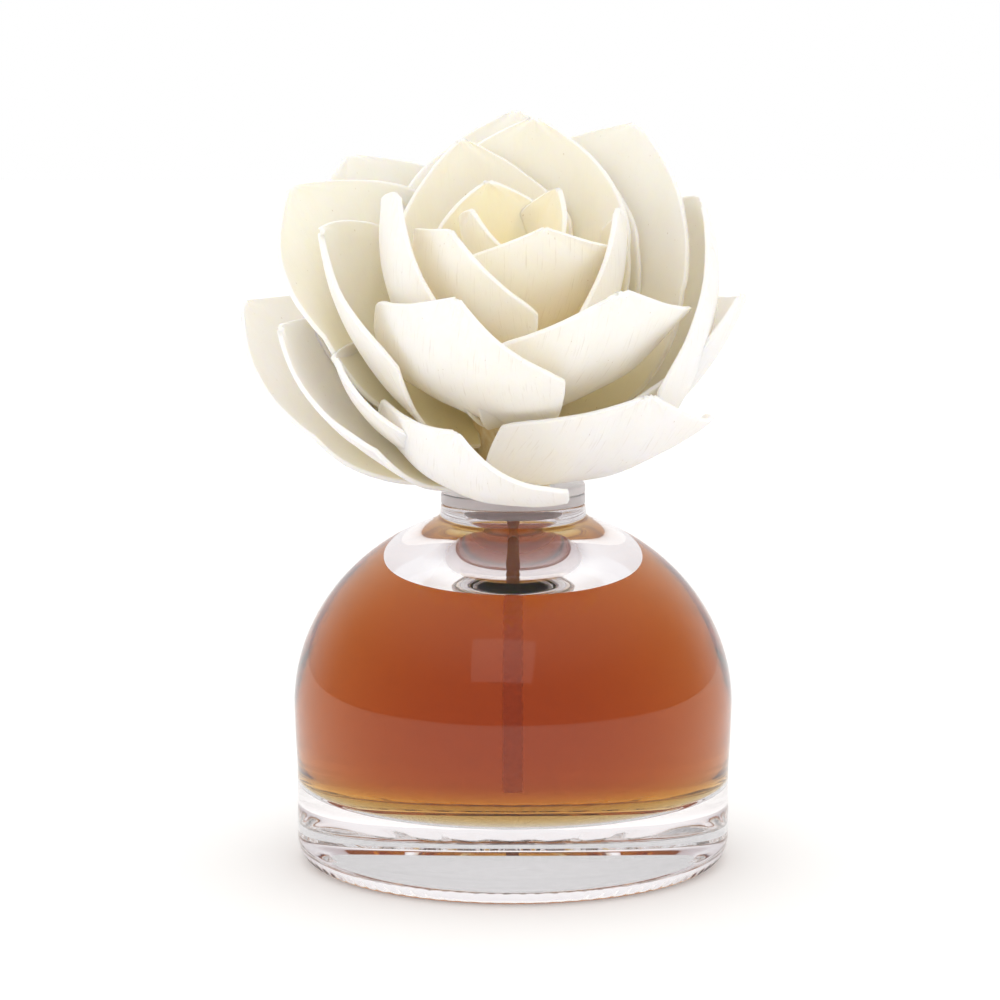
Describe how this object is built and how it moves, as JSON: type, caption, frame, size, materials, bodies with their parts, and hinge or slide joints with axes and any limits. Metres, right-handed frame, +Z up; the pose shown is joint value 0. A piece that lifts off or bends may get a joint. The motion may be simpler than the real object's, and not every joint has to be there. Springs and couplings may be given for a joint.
{
  "type": "home fragrance flower diffuser",
  "caption": "Domed thick-based glass bottle of scented oil with a stopper, a hanging wick and a cream pith-wood flower that spreads the scent.",
  "frame": {"origin": "centre of the bottle's flat base, on the surface it stands on", "axes": "+Z up along the bottle and wick, -Y towards the front that the flower leans to, +X to the right"},
  "size_m": [0.0895, 0.0977, 0.137],
  "materials": {
    "bottle_glass": "clear polished",
    "amber_oil": "clear liquid, stands in for oil",
    "frosted_plug": "frosted translucent",
    "frosted_disc": "frosted translucent",
    "cotton_wick": "oil-soaked twisted cotton",
    "pith_core": "matte turned pith",
    "pith_bud": "matte shaved pith",
    "pith_inner": "matte shaved pith",
    "pith_outer": "matte shaved pith",
    "pith_low": "matte shaved pith"
  },
  "bodies": {
    "bottle": {"bottle": "bottle_glass", "fragrance_oil": "amber_oil"},
    "plug": {"neck_insert": "frosted_plug"},
    "disc": {"stop_disc": "frosted_disc"},
    "flower": {"wick": "cotton_wick", "flower_core": "pith_core", "petal_bud_1": "pith_bud", "petal_bud_2": "pith_bud", "petal_bud_3": "pith_bud", "petal_heart_1": "pith_bud", "petal_heart_2": "pith_bud", "petal_inner_1": "pith_inner", "petal_inner_2": "pith_inner", "petal_inner_3": "pith_inner", "petal_inner_4": "pith_inner", "petal_inner_5": "pith_inner", "petal_mid_1": "pith_inner", "petal_mid_2": "pith_inner", "petal_mid_3": "pith_inner", "petal_outer_1": "pith_outer", "petal_outer_2": "pith_outer", "petal_outer_3": "pith_outer", "petal_outer_4": "pith_outer", "petal_under_1": "pith_outer", "petal_under_2": "pith_outer", "petal_low_1": "pith_low", "petal_low_2": "pith_low", "petal_low_3": "pith_low", "petal_low_4": "pith_low", "petal_low_5": "pith_low", "petal_low_6": "pith_low", "petal_low_7": "pith_low", "petal_low_8": "pith_low"}
  },
  "joints": [
    {"name": "plug_lift", "type": "slide", "parent": "bottle", "child": "plug", "axis": [0, 0, 1], "range_m": [0, 0.06]},
    {"name": "flower_lift", "type": "slide", "parent": "plug", "child": "disc", "axis": [0, 0, 1], "range_m": [0, 0.06]},
    {"name": "flower_turn", "type": "hinge", "parent": "disc", "child": "flower", "pos_m": [0, 0, 0.0695], "axis": [0, 0, 1], "continuous": true}
  ]
}
